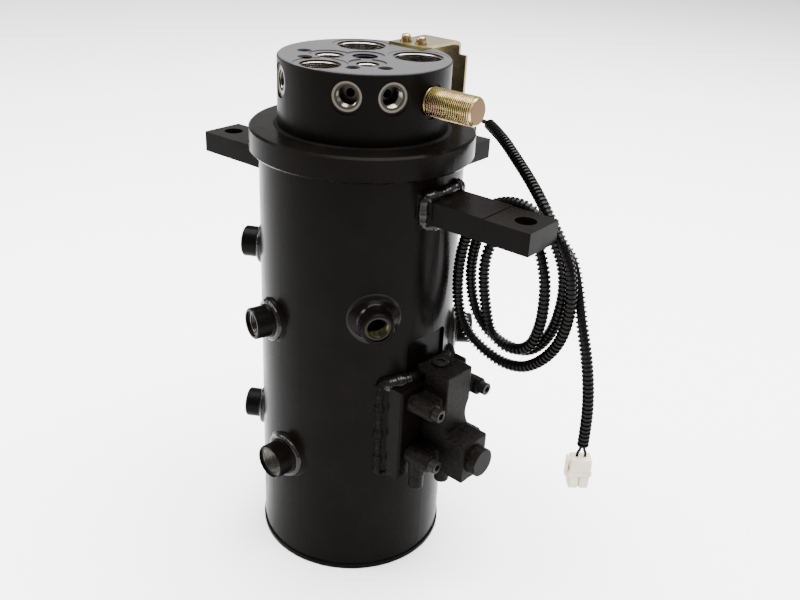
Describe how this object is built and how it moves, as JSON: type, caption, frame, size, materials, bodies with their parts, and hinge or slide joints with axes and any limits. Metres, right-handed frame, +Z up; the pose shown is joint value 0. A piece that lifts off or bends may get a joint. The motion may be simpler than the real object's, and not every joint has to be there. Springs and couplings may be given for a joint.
{
  "type": "hydraulic swivel",
  "caption": "Round hydraulic rotary union with a ported rotor, side bosses, a valve, mounting lugs, a stud and a coiled conduit.",
  "frame": {"origin": "on the swivel's axis, in the plane of its base", "axes": "+Z up the axis, +X along the front lug, +Y along the side lug"},
  "size_m": [0.4783, 0.3149, 0.5414],
  "materials": {
    "black_paint": "satin",
    "black_casting": "rough",
    "black_steel": "satin",
    "seal_rubber": "matte",
    "seal_plastic": "satin",
    "guide_plastic": "matte",
    "black_plastic": "satin",
    "white_plastic": "satin",
    "head_paint": "satin",
    "yellow_zinc": "satin",
    "plain_steel": "satin",
    "thrust_brass": "satin"
  },
  "bodies": {
    "housing": {"housing_barrel": "black_paint", "base_cover": "black_paint", "lug_front": "black_paint", "lug_rear": "black_paint", "lug_side": "black_paint", "valve_block": "black_paint", "port_boss_1": "black_paint", "port_boss_2": "black_paint", "port_boss_3": "black_paint", "port_boss_4": "black_paint", "port_boss_5": "black_paint", "port_boss_6": "black_paint", "valve_body": "black_casting", "valve_cap": "black_casting", "valve_top_plug": "black_casting", "valve_foot_plugs": "black_casting", "base_cover_screws": "black_steel", "valve_bolts": "black_steel", "base_cover_seal": "seal_rubber", "wiper_seal": "seal_rubber", "rotary_seal_1": "seal_plastic", "rotary_seal_2": "seal_plastic", "rotary_seal_3": "seal_plastic", "rotary_seal_4": "seal_plastic", "rotary_seal_5": "seal_plastic", "rotary_seal_6": "seal_plastic", "rotary_seal_7": "seal_plastic", "guide_ring_upper": "guide_plastic", "guide_ring_lower": "guide_plastic", "cable_gland": "black_plastic", "conduit_upper": "black_plastic", "conduit_coil": "black_plastic", "conduit_tail": "black_plastic", "wire_upper_a": "black_plastic", "wire_upper_b": "black_plastic", "wire_lower_a": "black_plastic", "wire_lower_b": "black_plastic", "connector": "white_plastic"},
    "rotor": {"rotor": "head_paint", "drive_stud": "yellow_zinc", "bracket": "yellow_zinc", "bracket_screws": "yellow_zinc", "bracket_washers": "yellow_zinc", "gallery_plugs": "plain_steel", "retaining_plate": "plain_steel", "retaining_bolts": "plain_steel", "thrust_washer": "thrust_brass"}
  },
  "joints": [
    {"name": "rotor_turn", "type": "hinge", "parent": "housing", "child": "rotor", "pos_m": [0, 0, 0], "axis": [0, 0, 1], "continuous": true}
  ]
}
